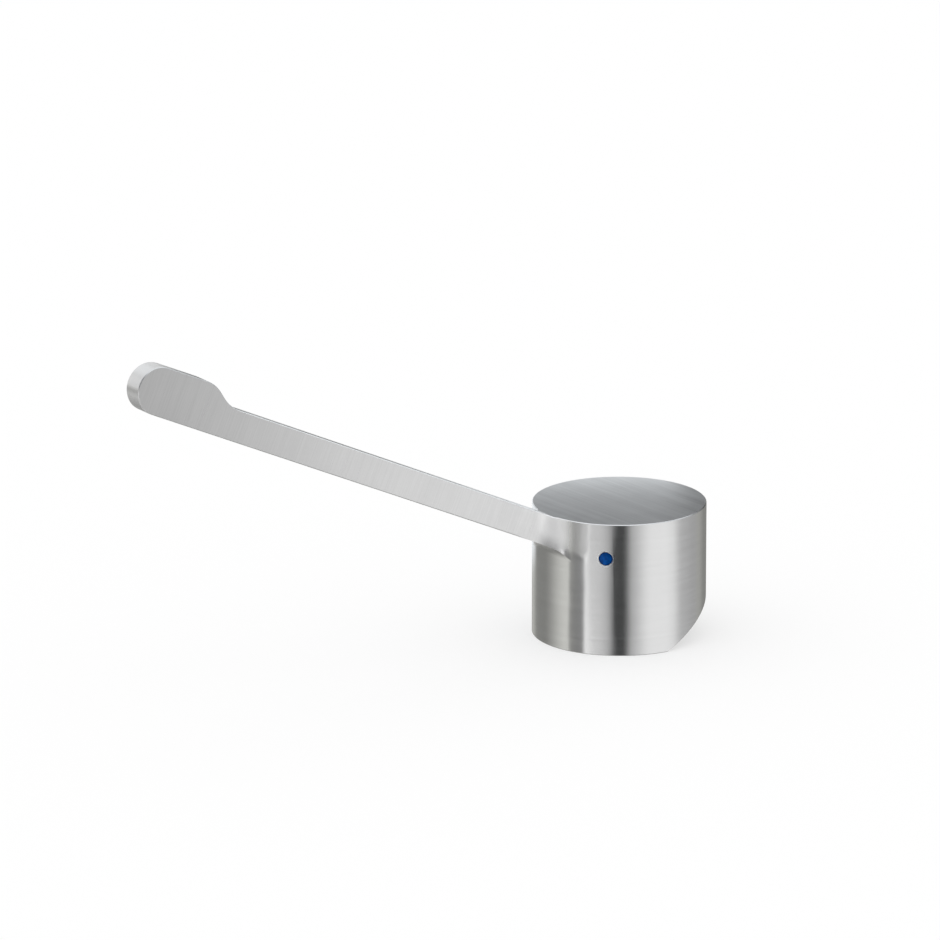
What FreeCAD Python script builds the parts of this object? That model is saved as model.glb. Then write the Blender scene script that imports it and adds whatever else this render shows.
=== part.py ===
import FreeCAD, Part

import math
import os

from FreeCAD import Vector

# Replacement handle for a single-lever tap. Sizes are in millimetres and degrees.
# X points to the user's right, the lever reaches along -Y towards the user, and Z is up.
# The origin is on the hub's axis, in the plane of the spindle socket's mouth.

# Hub: a cup, closed on top and open below.
HUB_RADIUS = 23.0
HUB_HEIGHT = 35.8
TOP_PLATE = 5.0
SKIRT_WALL = 2.8

# Boss inside the hub, the square socket for the cartridge's spindle, and the web behind the boss.
SOCKET_RECESS = 13.5
BOSS_RADIUS = 10.0
SPINDLE_SIDE = 8.0
SPINDLE_CLEARANCE = 0.1
SOCKET_DEPTH = 14.0
SOCKET_CORNER = 0.6
SOCKET_LEAD_IN = 0.5
WEB_WIDTH = 9.0
INNER_FILLET = 1.0

# Relief at the back of the rim, where the hub tips down over the tap's body.
RELIEF_START = 0.4
RELIEF_ANGLE = 28.4

# Lever: a flat bar that rises from the hub's top edge and grows a little deeper outwards.
LEVER_THICKNESS = 6.0
LEVER_RISE = 24.15
LEVER_ROOT_DEPTH = 7.8
LEVER_NECK_DEPTH = 8.2
LEVER_LENGTH = 139.3

# Root of the lever: how far it reaches along the lever, and its fillets towards the hub's wall, which
# are wide at the lever's underside and narrower at the hub's top.
ROOT_REACH = 12.0
ROOT_FILLET = 9.0
ROOT_FILLET_TOP = 4.2
UNDERSIDE_FILLET = 2.5

# Paddle at the lever's end: wider on its upper side only, with a full round end.
PADDLE_LENGTH = 31.3
PADDLE_DEPTH = 12.7
STEP_ANGLE = 35.0
STEP_RUN = 1.9

# Index plugs in the skirt, on either side of the lever.
INDEX_ANGLE = 48.0
INDEX_DROP = 9.4
INDEX_HOLE_RADIUS = 1.85
INDEX_HOLE_DEPTH = 1.8
INDEX_CLEARANCE = 0.03
INDEX_RING = 0.3
INDEX_RECESS = 0.1
INDEX_DOME = 0.2

# Grub screw that clamps the spindle, reached through the back of the skirt.
SCREW_RADIUS = 2.5
SCREW_LENGTH = 5.0
SCREW_CLEARANCE = 0.02
SCREW_HEIGHT = 7.0
SCREW_KEY = 2.5
SCREW_KEY_DEPTH = 2.5
SCREW_POINT = 0.7
SCREW_EDGE = 0.3
KEY_HOLE_RADIUS = 2.8

# Edge breaks on the outside of the body, and the length over which the lever's fades out on the root.
EDGE_BREAK = 0.2
EDGE_RUN_OUT = 4.0
RIM_BREAK = 0.2

# Heights and sizes that follow from the ones above.
RIM_Z = -SOCKET_RECESS
TOP_Z = RIM_Z + HUB_HEIGHT
PLATE_Z = TOP_Z - TOP_PLATE
NECK_LENGTH = LEVER_LENGTH - PADDLE_LENGTH
INDEX_Z = TOP_Z - INDEX_DROP
BORE_RADIUS = HUB_RADIUS - SKIRT_WALL
SOCKET_SIDE = SPINDLE_SIDE + 2 * SPINDLE_CLEARANCE

# How far a cutting shape passes the surface it cuts, and the reach of the blanks.
OVERCUT = 1.0
BLANK_REACH = HUB_RADIUS + LEVER_LENGTH
BLANK_TOP = TOP_Z + LEVER_LENGTH

# Distance under which a point counts as lying on a surface.
NEAR = 0.001


def lever_point(along, up):
    """Point of the side view, from the place where the underside would meet the hub's surface."""
    rise = math.radians(LEVER_RISE)
    out = HUB_RADIUS + along * math.cos(rise) - up * math.sin(rise)
    height = TOP_Z - LEVER_ROOT_DEPTH / math.cos(rise) + along * math.sin(rise) + up * math.cos(rise)
    return Vector(0, -out, height)


def along_lever():
    """Direction of the lever's underside, outwards."""
    return lever_point(1, 0) - lever_point(0, 0)


def up_lever():
    """Direction square to the lever's underside, upwards."""
    return lever_point(0, 1) - lever_point(0, 0)


def arc_about(centre, start, end):
    """Arc of the side view from start to end, given as points along and up the lever."""
    radius = math.hypot(start[0] - centre[0], start[1] - centre[1])
    middle = ((start[0] + end[0]) / 2 - centre[0], (start[1] + end[1]) / 2 - centre[1])
    scale = radius / math.hypot(*middle)
    through = (centre[0] + middle[0] * scale, centre[1] + middle[1] * scale)
    return Part.Arc(lever_point(*start), lever_point(*through), lever_point(*end)).toShape()


def line_between(start, end):
    """Straight line of the side view between two points along and up the lever."""
    return Part.makeLine(lever_point(*start), lever_point(*end))


def step_points():
    """Points and arc centres of the step from the neck up to the paddle, along and up the lever."""
    taper = math.atan2(LEVER_NECK_DEPTH - LEVER_ROOT_DEPTH, NECK_LENGTH)
    slope = math.radians(STEP_ANGLE)
    climb = PADDLE_DEPTH - LEVER_NECK_DEPTH - STEP_RUN * math.sin(slope)
    radius = climb / (math.cos(taper) + 1 - 2 * math.cos(slope))
    foot = (NECK_LENGTH, LEVER_NECK_DEPTH)
    inner = (foot[0] - radius * math.sin(taper), foot[1] + radius * math.cos(taper))
    low = (inner[0] + radius * math.sin(slope), inner[1] - radius * math.cos(slope))
    high = (low[0] + STEP_RUN * math.cos(slope), low[1] + STEP_RUN * math.sin(slope))
    outer = (high[0] + radius * math.sin(slope), high[1] - radius * math.cos(slope))
    head = (outer[0], outer[1] + radius)
    return foot, inner, low, high, outer, head


def lever_top():
    """Two points of the lever's top line: at the hub's front edge, and where the step starts."""
    return Vector(0, -HUB_RADIUS, TOP_Z), lever_point(NECK_LENGTH, LEVER_NECK_DEPTH)


def bar_outline():
    """Side view of the bar: cut square where it joins the root, with the paddle's full round end."""
    foot, inner, low, high, outer, head = step_points()
    end_radius = PADDLE_DEPTH / 2
    end_top = (LEVER_LENGTH - end_radius, PADDLE_DEPTH)
    end_mid = (LEVER_LENGTH - end_radius, end_radius)
    end_tip = (LEVER_LENGTH, end_radius)
    end_low = (LEVER_LENGTH - end_radius, 0)
    start = lever_point(ROOT_REACH, 0)
    rim, neck_end = lever_top()
    share = (start - rim).dot(along_lever()) / (neck_end - rim).dot(along_lever())
    start_top = rim + (neck_end - rim) * share
    edges = [
        Part.makeLine(start, start_top),
        Part.makeLine(start_top, neck_end),
        arc_about(inner, foot, low),
        line_between(low, high),
        arc_about(outer, high, head),
        line_between(head, end_top),
        arc_about(end_mid, end_top, end_tip),
        arc_about(end_mid, end_tip, end_low),
        Part.makeLine(lever_point(*end_low), start),
    ]
    return Part.Face(Part.Wire(edges))


def across(face, width):
    """A face of the side view made into a solid of the given width, centred on the middle plane."""
    face.translate(Vector(-width / 2, 0, 0))
    return face.extrude(Vector(width, 0, 0))


def block(corners, width):
    """A solid of the given width whose side view is the polygon through the given corners."""
    return across(Part.Face(Part.makePolygon(corners + corners[:1])), width)


def edge_points(edge):
    """Five points along an edge, enough to tell which surface it lies on."""
    return edge.discretize(5)


def on_hub_wall(edge):
    """Whether an edge lies on the hub's outer cylinder."""
    return all(abs(math.hypot(p.x, p.y) - HUB_RADIUS) < NEAR for p in edge_points(edge))


def in_plane(edge, point, normal):
    """Whether an edge lies in a plane."""
    return all(abs((p - point).dot(normal)) < NEAR for p in edge_points(edge))


def at_join(edge):
    """Whether an edge lies in the plane where the bar joins the root."""
    return in_plane(edge, lever_point(ROOT_REACH, 0), along_lever())


def root_corners(blank):
    """The two upright inner corners where the wall meets the hub."""
    half = LEVER_THICKNESS / 2
    return [
        edge
        for edge in blank.Edges
        if on_hub_wall(edge) and all(abs(abs(p.x) - half) < NEAR and p.y < 0 for p in edge_points(edge))
    ]


def space_above():
    """Everything above the hub's top and the lever's top line."""
    rim, neck_end = lever_top()
    high = Vector(0, neck_end.y, BLANK_TOP + OVERCUT)
    back = Vector(0, HUB_RADIUS + OVERCUT, TOP_Z)
    return block([back, rim, neck_end, high, Vector(0, back.y, high.z)], 2 * (HUB_RADIUS + OVERCUT))


def space_below():
    """Everything under the lever in front of the hub, with its inner edge rounded off towards the hub."""
    back = lever_point(-3 * HUB_RADIUS, 0)
    front = lever_point(LEVER_LENGTH, 0)
    floor = back.z - HUB_HEIGHT
    space = block([back, front, Vector(0, front.y, floor), Vector(0, back.y, floor)], 4 * HUB_RADIUS)
    space = space.cut(Part.makeCylinder(HUB_RADIUS, BLANK_TOP - floor, Vector(0, 0, floor)))
    inner = [edge for edge in space.Edges if in_plane(edge, back, up_lever()) and on_hub_wall(edge)]
    space = space.makeFillet(UNDERSIDE_FILLET, inner)
    half = LEVER_THICKNESS / 2 + ROOT_FILLET
    limit = Part.makeBox(2 * half, BLANK_REACH, BLANK_TOP - floor, Vector(-half, -BLANK_REACH, floor))
    return space.common(limit)


def beyond_root():
    """Everything past the place where the bar joins the root."""
    up = up_lever() * HUB_HEIGHT
    near = lever_point(ROOT_REACH, 0)
    far = lever_point(LEVER_LENGTH, 0)
    return block([near - up, near + up, far + up, far - up], 2 * HUB_RADIUS)


def edge_run_out(side):
    """Wedge that lets the edge break of the lever's underside fade out on the root."""
    corner = Vector(side * LEVER_THICKNESS / 2, 0, 0)
    inwards = Vector(side * EDGE_BREAK, 0, 0)
    up = up_lever() * EDGE_BREAK
    start = lever_point(ROOT_REACH, 0) + corner
    corners = [start + up, start - inwards, start + inwards - up, start + up]
    tip = Part.Vertex(lever_point(ROOT_REACH - EDGE_RUN_OUT, 0) + corner)
    return Part.makeLoft([Part.makePolygon(corners), tip], True, True)


def top_edges(root):
    """The edges of the hub's top and the lever's top, apart from the crease between them and the join."""
    rim, neck_end = lever_top()
    slope = (neck_end - rim).normalize()
    square = Vector(0, -slope.z, slope.y)
    level = Vector(0, 0, 1)
    return [
        edge
        for edge in root.Edges
        if in_plane(edge, rim, level) != in_plane(edge, rim, square) and not at_join(edge)
    ]


def root_fillet(height):
    """Radius of the root's side fillets at a height."""
    low = lever_point(0, 0).z
    return ROOT_FILLET + (ROOT_FILLET_TOP - ROOT_FILLET) * (height - low) / (TOP_Z - low)


def root_blank():
    """Hub with an upright wall in front of it, joined by fillets that get narrower upwards."""
    half = LEVER_THICKNESS / 2
    reach = HUB_RADIUS + ROOT_REACH
    foot = lever_point(0, 0).z - ROOT_FILLET
    head = lever_point(ROOT_REACH, LEVER_NECK_DEPTH).z
    hub = Part.makeCylinder(HUB_RADIUS, head - RIM_Z, Vector(0, 0, RIM_Z))
    rim = [edge for edge in hub.Edges if in_plane(edge, Vector(0, 0, RIM_Z), Vector(0, 0, 1))]
    wall = Part.makeBox(2 * half, reach, head - foot, Vector(-half, -reach, foot))
    blank = hub.makeChamfer(RIM_BREAK, rim).fuse(wall)
    return blank.makeFillet(root_fillet(foot), root_fillet(head), root_corners(blank))


def hub_and_root():
    """Solid hub with the lever's root: side fillets, a rounded underside, and the edge break on top."""
    root = root_blank()
    for space in (space_below(), space_above(), beyond_root()):
        root = root.cut(space)
    root = root.removeSplitter()
    root = root.makeChamfer(EDGE_BREAK, top_edges(root))
    return root.cut(edge_run_out(1)).cut(edge_run_out(-1))


def lever_bar():
    """The bar from the root to the paddle's round end, with the edge break along both sides."""
    bar = across(bar_outline(), LEVER_THICKNESS)
    half = LEVER_THICKNESS / 2
    sides = [
        edge
        for edge in bar.Edges
        if all(abs(abs(p.x) - half) < NEAR for p in edge_points(edge)) and not at_join(edge)
    ]
    return bar.makeChamfer(EDGE_BREAK, sides)


def solid_handle():
    """Hub, root and lever as one solid."""
    return hub_and_root().fuse(lever_bar()).removeSplitter()


def hub_cavity():
    """The space inside the skirt: the bore less the boss and the web that joins it to the back."""
    bore = Part.makeCylinder(BORE_RADIUS, PLATE_Z - RIM_Z + OVERCUT, Vector(0, 0, RIM_Z - OVERCUT))
    boss = Part.makeCylinder(BOSS_RADIUS, PLATE_Z + OVERCUT)
    web = Part.makeBox(WEB_WIDTH, HUB_RADIUS, PLATE_Z + OVERCUT, Vector(-WEB_WIDTH / 2, 0, 0))
    cavity = bore.cut(boss.fuse(web))
    roof = [
        edge
        for edge in cavity.Edges
        if all(abs(p.z - PLATE_Z) < NEAR for p in edge_points(edge))
    ]
    return cavity.makeFillet(INNER_FILLET, roof)


def spindle_socket():
    """The square socket, open at the boss's mouth, with a lead-in for the spindle."""
    half = SOCKET_SIDE / 2
    socket = Part.makeBox(SOCKET_SIDE, SOCKET_SIDE, SOCKET_DEPTH, Vector(-half, -half, 0))
    upright = [edge for edge in socket.Edges if abs(edge.CenterOfMass.z - SOCKET_DEPTH / 2) < NEAR]
    socket = socket.makeFillet(SOCKET_CORNER, upright)
    mouth = half + SOCKET_LEAD_IN + OVERCUT
    throat = half - SOCKET_CORNER
    drop = SOCKET_LEAD_IN + SOCKET_CORNER
    lead_in = Part.makeLoft([square_wire(mouth, -OVERCUT), square_wire(throat, drop)], True, True)
    return socket.fuse(lead_in)


def square_wire(half, height):
    """Level square of the given half width, centred on the hub's axis."""
    corners = [(-half, -half), (half, -half), (half, half), (-half, half), (-half, -half)]
    return Part.makePolygon([Vector(x, y, height) for x, y in corners])


def skirt_relief():
    """The wedge taken off the back of the rim."""
    slope = math.tan(math.radians(RELIEF_ANGLE))
    back = HUB_RADIUS + OVERCUT
    start = Vector(0, RELIEF_START - OVERCUT / slope, RIM_Z - OVERCUT)
    high = Vector(0, back, RIM_Z + (back - RELIEF_START) * slope)
    low = Vector(0, back, start.z)
    return across(Part.Face(Part.makePolygon([start, high, low, start])), 2 * back)


def outward(side):
    """Level direction from the hub's axis to an index plug: side is 1 for cold, -1 for hot."""
    angle = math.radians(INDEX_ANGLE)
    return Vector(side * math.sin(angle), -math.cos(angle), 0)


def index_place(side, distance):
    """Point on an index plug's axis at a distance from the hub's axis."""
    return outward(side) * distance + Vector(0, 0, INDEX_Z)


def index_hole(side):
    """Blind hole for an index plug, with a bevelled ring at its mouth."""
    floor = index_place(side, HUB_RADIUS - INDEX_HOLE_DEPTH)
    hole = Part.makeCylinder(INDEX_HOLE_RADIUS, INDEX_HOLE_DEPTH + OVERCUT, floor, outward(side))
    ring = Part.makeCone(
        INDEX_HOLE_RADIUS,
        INDEX_HOLE_RADIUS + INDEX_RING + OVERCUT,
        INDEX_RING + OVERCUT,
        index_place(side, HUB_RADIUS - INDEX_RING),
        outward(side),
    )
    return hole.fuse(ring)


def index_plug(side):
    """Coloured plug that stands on the floor of its hole, with a slightly domed face."""
    radius = INDEX_HOLE_RADIUS - INDEX_CLEARANCE
    floor = HUB_RADIUS - INDEX_HOLE_DEPTH
    length = INDEX_HOLE_DEPTH - INDEX_RECESS
    plug = Part.makeCylinder(radius, length, index_place(side, floor), outward(side))
    dome_radius = (radius ** 2 + INDEX_DOME ** 2) / (2 * INDEX_DOME)
    dome = Part.makeSphere(dome_radius, index_place(side, floor + length - dome_radius))
    return plug.common(dome)


def screw_hole():
    """Hole for the grub screw through the boss, and the wider hole for its key behind."""
    start = Vector(0, 0, SCREW_HEIGHT)
    back = Vector(0, 1, 0)
    thread = Part.makeCylinder(SCREW_RADIUS + SCREW_CLEARANCE, BOSS_RADIUS + OVERCUT, start, back)
    key = Part.makeCylinder(KEY_HOLE_RADIUS, HUB_RADIUS, start + back * BOSS_RADIUS, back)
    return thread.fuse(key)


def set_screw():
    """Grub screw with a hexagon socket, its tip level with the wall of the spindle socket."""
    tip = Vector(0, SOCKET_SIDE / 2, SCREW_HEIGHT)
    back = Vector(0, 1, 0)
    screw = Part.makeCylinder(SCREW_RADIUS, SCREW_LENGTH, tip, back)
    point = [edge for edge in screw.Edges if all(abs(p.y - tip.y) < NEAR for p in edge_points(edge))]
    screw = screw.makeChamfer(SCREW_POINT, point)
    head_y = tip.y + SCREW_LENGTH
    head = [edge for edge in screw.Edges if all(abs(p.y - head_y) < NEAR for p in edge_points(edge))]
    screw = screw.makeChamfer(SCREW_EDGE, head)
    across_corners = SCREW_KEY / math.cos(math.radians(30))
    corners = [
        Vector(
            across_corners / 2 * math.cos(math.radians(60 * step)),
            head_y - SCREW_KEY_DEPTH,
            SCREW_HEIGHT + across_corners / 2 * math.sin(math.radians(60 * step)),
        )
        for step in range(7)
    ]
    hexagon = Part.Face(Part.makePolygon(corners)).extrude(Vector(0, SCREW_KEY_DEPTH + OVERCUT, 0))
    return screw.cut(hexagon)


def handle_body():
    """The whole casting, with its cavity, socket, relief and holes."""
    body = solid_handle().cut(hub_cavity())
    for cutter in (skirt_relief(), spindle_socket(), screw_hole(), index_hole(1), index_hole(-1)):
        body = body.cut(cutter)
    return body


def main():
    os.makedirs("parts", exist_ok=True)
    pieces = {
        "handle_body": handle_body(),
        "cold_index": index_plug(1),
        "hot_index": index_plug(-1),
        "set_screw": set_screw(),
    }
    for name, shape in pieces.items():
        if len(shape.Solids) != 1 or not shape.isValid():
            raise ValueError(name + " is not one valid solid")
        shape.Solids[0].exportStep("parts/" + name + ".step")


main()
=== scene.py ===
"""Studio scene of a replacement tap handle in brushed steel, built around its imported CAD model.

Lengths are in metres in the row frame: the origin is on the hub's axis at the spindle socket's
mouth, +Z is up, the lever reaches along -Y towards the user, and +X is the user's right, the cold
side.
"""

import functools
import logging
import math
from dataclasses import dataclass, field
from enum import Enum

import bmesh
import bpy
from mathutils import Matrix, Vector

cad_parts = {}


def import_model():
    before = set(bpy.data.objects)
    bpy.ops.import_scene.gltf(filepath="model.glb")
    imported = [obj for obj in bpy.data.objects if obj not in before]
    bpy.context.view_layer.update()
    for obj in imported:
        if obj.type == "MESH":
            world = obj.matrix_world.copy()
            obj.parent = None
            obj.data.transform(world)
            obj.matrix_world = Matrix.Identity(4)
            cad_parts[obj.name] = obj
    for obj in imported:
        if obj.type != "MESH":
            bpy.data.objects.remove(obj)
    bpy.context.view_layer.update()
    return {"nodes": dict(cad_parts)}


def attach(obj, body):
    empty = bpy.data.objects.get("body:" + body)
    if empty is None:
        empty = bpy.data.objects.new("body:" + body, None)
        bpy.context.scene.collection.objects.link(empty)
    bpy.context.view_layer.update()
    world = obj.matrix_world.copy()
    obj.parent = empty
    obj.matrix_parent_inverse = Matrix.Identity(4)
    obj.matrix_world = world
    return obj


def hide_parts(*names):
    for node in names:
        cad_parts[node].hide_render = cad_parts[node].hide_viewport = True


LOG = logging.getLogger("tap_handle")
MM = 0.001
MERGE_DISTANCE = 0.0005 * MM
SHARP_ANGLE = math.radians(30.0)
NOISE_MIDDLE = 0.5
UP = Vector((0.0, 0.0, 1.0))

HUB_RADIUS = 23.0 * MM
PLUG_ANGLE = math.radians(48.0)
PLUG_HEIGHT = 12.9 * MM

Colour = tuple[float, float, float, float]
Span = tuple[float, float]
Socket = bpy.types.NodeSocket

WHITE: Colour = (1.0, 1.0, 1.0, 1.0)
WARM: Colour = (1.0, 1.0, 0.95, 1.0)
COOL: Colour = (0.965, 1.0, 1.03, 1.0)


class Side(Enum):
    """The two sides of the lever, with the sign of X on which each lies."""

    COLD = 1
    HOT = -1


# The deep and the light colour of each side's enamel.
ENAMELS: dict[Side, tuple[Colour, Colour]] = {
    Side.COLD: ((0.0, 0.012, 0.066, 1.0), (0.0, 0.068, 0.300, 1.0)),
    Side.HOT: ((0.09, 0.0, 0.001, 1.0), (0.38, 0.004, 0.008, 1.0)),
}


class Zone(Enum):
    """The areas of the handle that are brushed in their own direction."""

    SKIRT = "skirt"
    ROOT = "root"
    TOP = "top"
    LEVER_SIDE = "lever side"
    LEVER_EDGE = "lever edge"
    INSIDE = "inside"


Masks = dict[Zone, Socket]


class NodeBench:
    """Short calls that add nodes to one node tree and wire them."""

    def __init__(self, tree: bpy.types.NodeTree) -> None:
        """Starts on an emptied tree.

        Args:
            tree: the node tree to fill.
        """
        self.tree = tree
        tree.nodes.clear()

    @functools.cached_property
    def place(self) -> Socket:
        """The Object coordinates."""
        return self.add("ShaderNodeTexCoord").outputs["Object"]

    @functools.cached_property
    def normal(self) -> Socket:
        """The surface normal."""
        return self.add("ShaderNodeNewGeometry").outputs["Normal"]

    def add(self, kind: str, **settings: object) -> bpy.types.Node:
        """Adds one node.

        Args:
            kind: the node's type name.
            settings: properties to set on it.

        Returns:
            The new node.
        """
        node = self.tree.nodes.new(kind)
        for name, value in settings.items():
            setattr(node, name, value)
        return node

    def feed(self, target: Socket, source: object) -> None:
        """Links a socket to a source socket, or sets its value.

        Args:
            target: the input socket.
            source: an output socket or a plain value.
        """
        if isinstance(source, Socket):
            self.tree.links.new(source, target)
        else:
            target.default_value = source

    def result(self, kind: str, *sources: object, **settings: object) -> Socket:
        """Adds one node and feeds its inputs in order.

        Args:
            kind: the node's type name.
            sources: a socket or a plain value for each input that is in use.
            settings: properties to set on the node.

        Returns:
            The node's first output that is in use.
        """
        node = self.add(kind, **settings)
        used = [socket for socket in node.inputs if socket.enabled]
        for socket, source in zip(used, sources):
            self.feed(socket, source)
        return next(socket for socket in node.outputs if socket.enabled)

    def math(self, operation: str, *values: object) -> Socket:
        """Adds a Math node with these inputs."""
        return self.result("ShaderNodeMath", *values, operation=operation)

    def product(self, *factors: object) -> Socket:
        """Multiplies two or more numbers."""
        return functools.reduce(functools.partial(self.math, "MULTIPLY"), factors)

    def vector(self, operation: str, *values: object) -> Socket:
        """Adds a Vector Math node with these inputs."""
        return self.result("ShaderNodeVectorMath", *values, operation=operation)

    def joined(self, x: object, y: object, z: object) -> Socket:
        """Makes a vector of its parts."""
        return self.result("ShaderNodeCombineXYZ", x, y, z)

    def smooth(self, value: object, low: float, high: float) -> Socket:
        """Adds a soft step.

        Args:
            value: the socket that is read.
            low: where the result is 0.
            high: where the result is 1, above or below low.

        Returns:
            A value from 0 to 1.
        """
        return self.result("ShaderNodeMapRange", value, low, high, interpolation_type="SMOOTHSTEP")

    def spread(self, value: object, low: float, high: float) -> Socket:
        """Maps a value from 0..1 to low..high."""
        return self.result("ShaderNodeMapRange", value, 0.0, 1.0, low, high)

    def blend(self, factor: object, first: object, second: object, kind: str = "FLOAT") -> Socket:
        """Adds a Mix node.

        Args:
            factor: the share of the second input.
            first: the result at 0.
            second: the result at 1.
            kind: FLOAT, VECTOR or RGBA.

        Returns:
            The mixed value, vector or colour.
        """
        return self.result("ShaderNodeMix", factor, first, second, data_type=kind)

    def noise(self, place: object, scale: object, detail: float, roughness: float = 0.5) -> Socket:
        """Adds a noise texture.

        Args:
            place: where it is read.
            scale: the number of its features in one unit.
            detail: how many finer layers it has.
            roughness: how strong the finer layers are.

        Returns:
            Its value, around 0.5.
        """
        return self.result("ShaderNodeTexNoise", place, scale, detail, roughness)

    def parts(self, vector: object) -> list[Socket]:
        """Splits a vector.

        Args:
            vector: the vector's socket.

        Returns:
            Its X, Y and Z.
        """
        node = self.add("ShaderNodeSeparateXYZ")
        self.feed(node.inputs[0], vector)
        return list(node.outputs)

    def group(self, tree: bpy.types.NodeTree, **values: object) -> bpy.types.Node:
        """Places a node group.

        Args:
            tree: the group's tree.
            values: its inputs by name.

        Returns:
            The group's node.
        """
        node = self.add("ShaderNodeGroup", node_tree=tree)
        for name, source in values.items():
            self.feed(node.inputs[name], source)
        return node

    def emboss(self, shader: bpy.types.Node, height: object, depth: float) -> None:
        """Gives a shader relief.

        Args:
            shader: the Principled shader.
            height: the height's socket.
            depth: the relief's depth in metres where the height is 1.
        """
        bump = self.add("ShaderNodeBump")
        bump.inputs["Distance"].default_value = depth
        self.feed(bump.inputs["Height"], height)
        self.feed(shader.inputs["Normal"], bump.outputs["Normal"])

    def show(self, shader: object, kind: str = "ShaderNodeOutputMaterial") -> None:
        """Wires a shader's socket to a new output node of this kind."""
        self.feed(self.add(kind).inputs["Surface"], shader)


def new_group(
    name: str, inputs: dict[str, str], outputs: dict[str, str]
) -> tuple[bpy.types.NodeTree, NodeBench]:
    """Makes an empty shader node group with its sockets.

    Args:
        name: the group's name.
        inputs: socket types by name.
        outputs: socket types by name.

    Returns:
        The group's tree and a bench on it.
    """
    tree = bpy.data.node_groups.new(name, "ShaderNodeTree")
    for direction, sockets in (("INPUT", inputs), ("OUTPUT", outputs)):
        for socket, kind in sockets.items():
            tree.interface.new_socket(socket, in_out=direction, socket_type="NodeSocket" + kind)
    return tree, NodeBench(tree)


@dataclass(frozen=True)
class BrushGroup:
    """Node group of brush lines: long thin scratches that run square to one coordinate."""

    name: str = "brush lines"
    fine_detail: float = 3.0
    fine_roughness: float = 0.65
    broad_ratio: float = 7.0
    broad_stroke: float = 3.0
    broad_detail: float = 2.0

    def build(self) -> bpy.types.NodeTree:
        """Builds the group.

        Returns:
            A group that turns a place and a pitch into fine and broad streaks, both around 0.5.
        """
        inputs = dict.fromkeys(("Across", "Along", "Beside", "Pitch", "Stroke"), "Float")
        tree, bench = new_group(self.name, inputs, {"Fine": "Float", "Broad": "Float"})
        source = bench.add("NodeGroupInput").outputs
        result = bench.add("NodeGroupOutput").inputs
        across = bench.math("DIVIDE", source["Across"], source["Pitch"])
        along = bench.math("DIVIDE", source["Along"], source["Stroke"])
        beside = bench.math("DIVIDE", source["Beside"], source["Stroke"])
        narrow = bench.joined(across, along, beside)
        wide = bench.joined(
            bench.math("DIVIDE", across, self.broad_ratio),
            bench.math("DIVIDE", along, self.broad_stroke),
            bench.math("DIVIDE", beside, self.broad_stroke),
        )
        fine = bench.noise(narrow, 1.0, self.fine_detail, self.fine_roughness)
        bench.feed(result["Fine"], fine)
        bench.feed(result["Broad"], bench.noise(wide, 1.0, self.broad_detail))
        return tree


@dataclass(frozen=True)
class HandlingGroup:
    """Node group of the soft uneven patches that cleaning and handling leave on metal."""

    name: str = "handling patches"
    detail: float = 3.0
    wave_ratio: float = 2.0
    speck_radius: Span = (0.09, 0.05)
    speck_rarity: Span = (0.93, 0.94)

    def build(self) -> bpy.types.NodeTree:
        """Builds the group.

        Returns:
            A group that gives a patch value and a smoother wave, both around 0.5, and rare small
            specks from 0 to 1.
        """
        inputs = {"Place": "Vector", "Size": "Float", "Speck": "Float"}
        outputs = dict.fromkeys(("Patch", "Specks", "Wave"), "Float")
        tree, bench = new_group(self.name, inputs, outputs)
        source = bench.add("NodeGroupInput").outputs
        result = bench.add("NodeGroupOutput").inputs
        scale = bench.math("DIVIDE", 1.0, source["Size"])
        cells = bench.add("ShaderNodeTexVoronoi", feature="F1")
        bench.feed(cells.inputs["Vector"], source["Place"])
        bench.feed(cells.inputs["Scale"], bench.math("DIVIDE", 1.0, source["Speck"]))
        near = bench.smooth(cells.outputs["Distance"], *self.speck_radius)
        rare = bench.smooth(bench.parts(cells.outputs["Color"])[0], *self.speck_rarity)
        wave_scale = bench.product(scale, self.wave_ratio)
        bench.feed(result["Patch"], bench.noise(source["Place"], scale, self.detail))
        bench.feed(result["Wave"], bench.noise(source["Place"], wave_scale, 0.0))
        bench.feed(result["Specks"], bench.product(near, rare))
        return tree


@dataclass(frozen=True)
class Finishes:
    """The node groups that the finishes share."""

    brush: bpy.types.NodeTree
    handling: bpy.types.NodeTree

    @classmethod
    def build(cls) -> "Finishes":
        """Builds every shared group once."""
        return cls(BrushGroup().build(), HandlingGroup().build())


def bare_material(name: str) -> tuple[bpy.types.Material, NodeBench]:
    """Makes a material without nodes.

    Args:
        name: the material's name.

    Returns:
        The material and a bench on its tree.
    """
    material = bpy.data.materials.new(name)
    material.use_nodes = True
    return material, NodeBench(material.node_tree)


def new_material(name: str) -> tuple[bpy.types.Material, NodeBench, bpy.types.Node]:
    """Makes a material with a wired Principled shader.

    Args:
        name: the material's name.

    Returns:
        The material, a bench on its tree and its shader.
    """
    material, bench = bare_material(name)
    shader = bench.add("ShaderNodeBsdfPrincipled")
    bench.show(shader.outputs["BSDF"])
    return material, bench, shader


@dataclass(frozen=True)
class BrushStroke:
    """How one zone is brushed: spacing and length of its lines, and how strongly they show."""

    pitch: float
    stroke: float
    roughness: float
    shade: float
    relief: float


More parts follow.
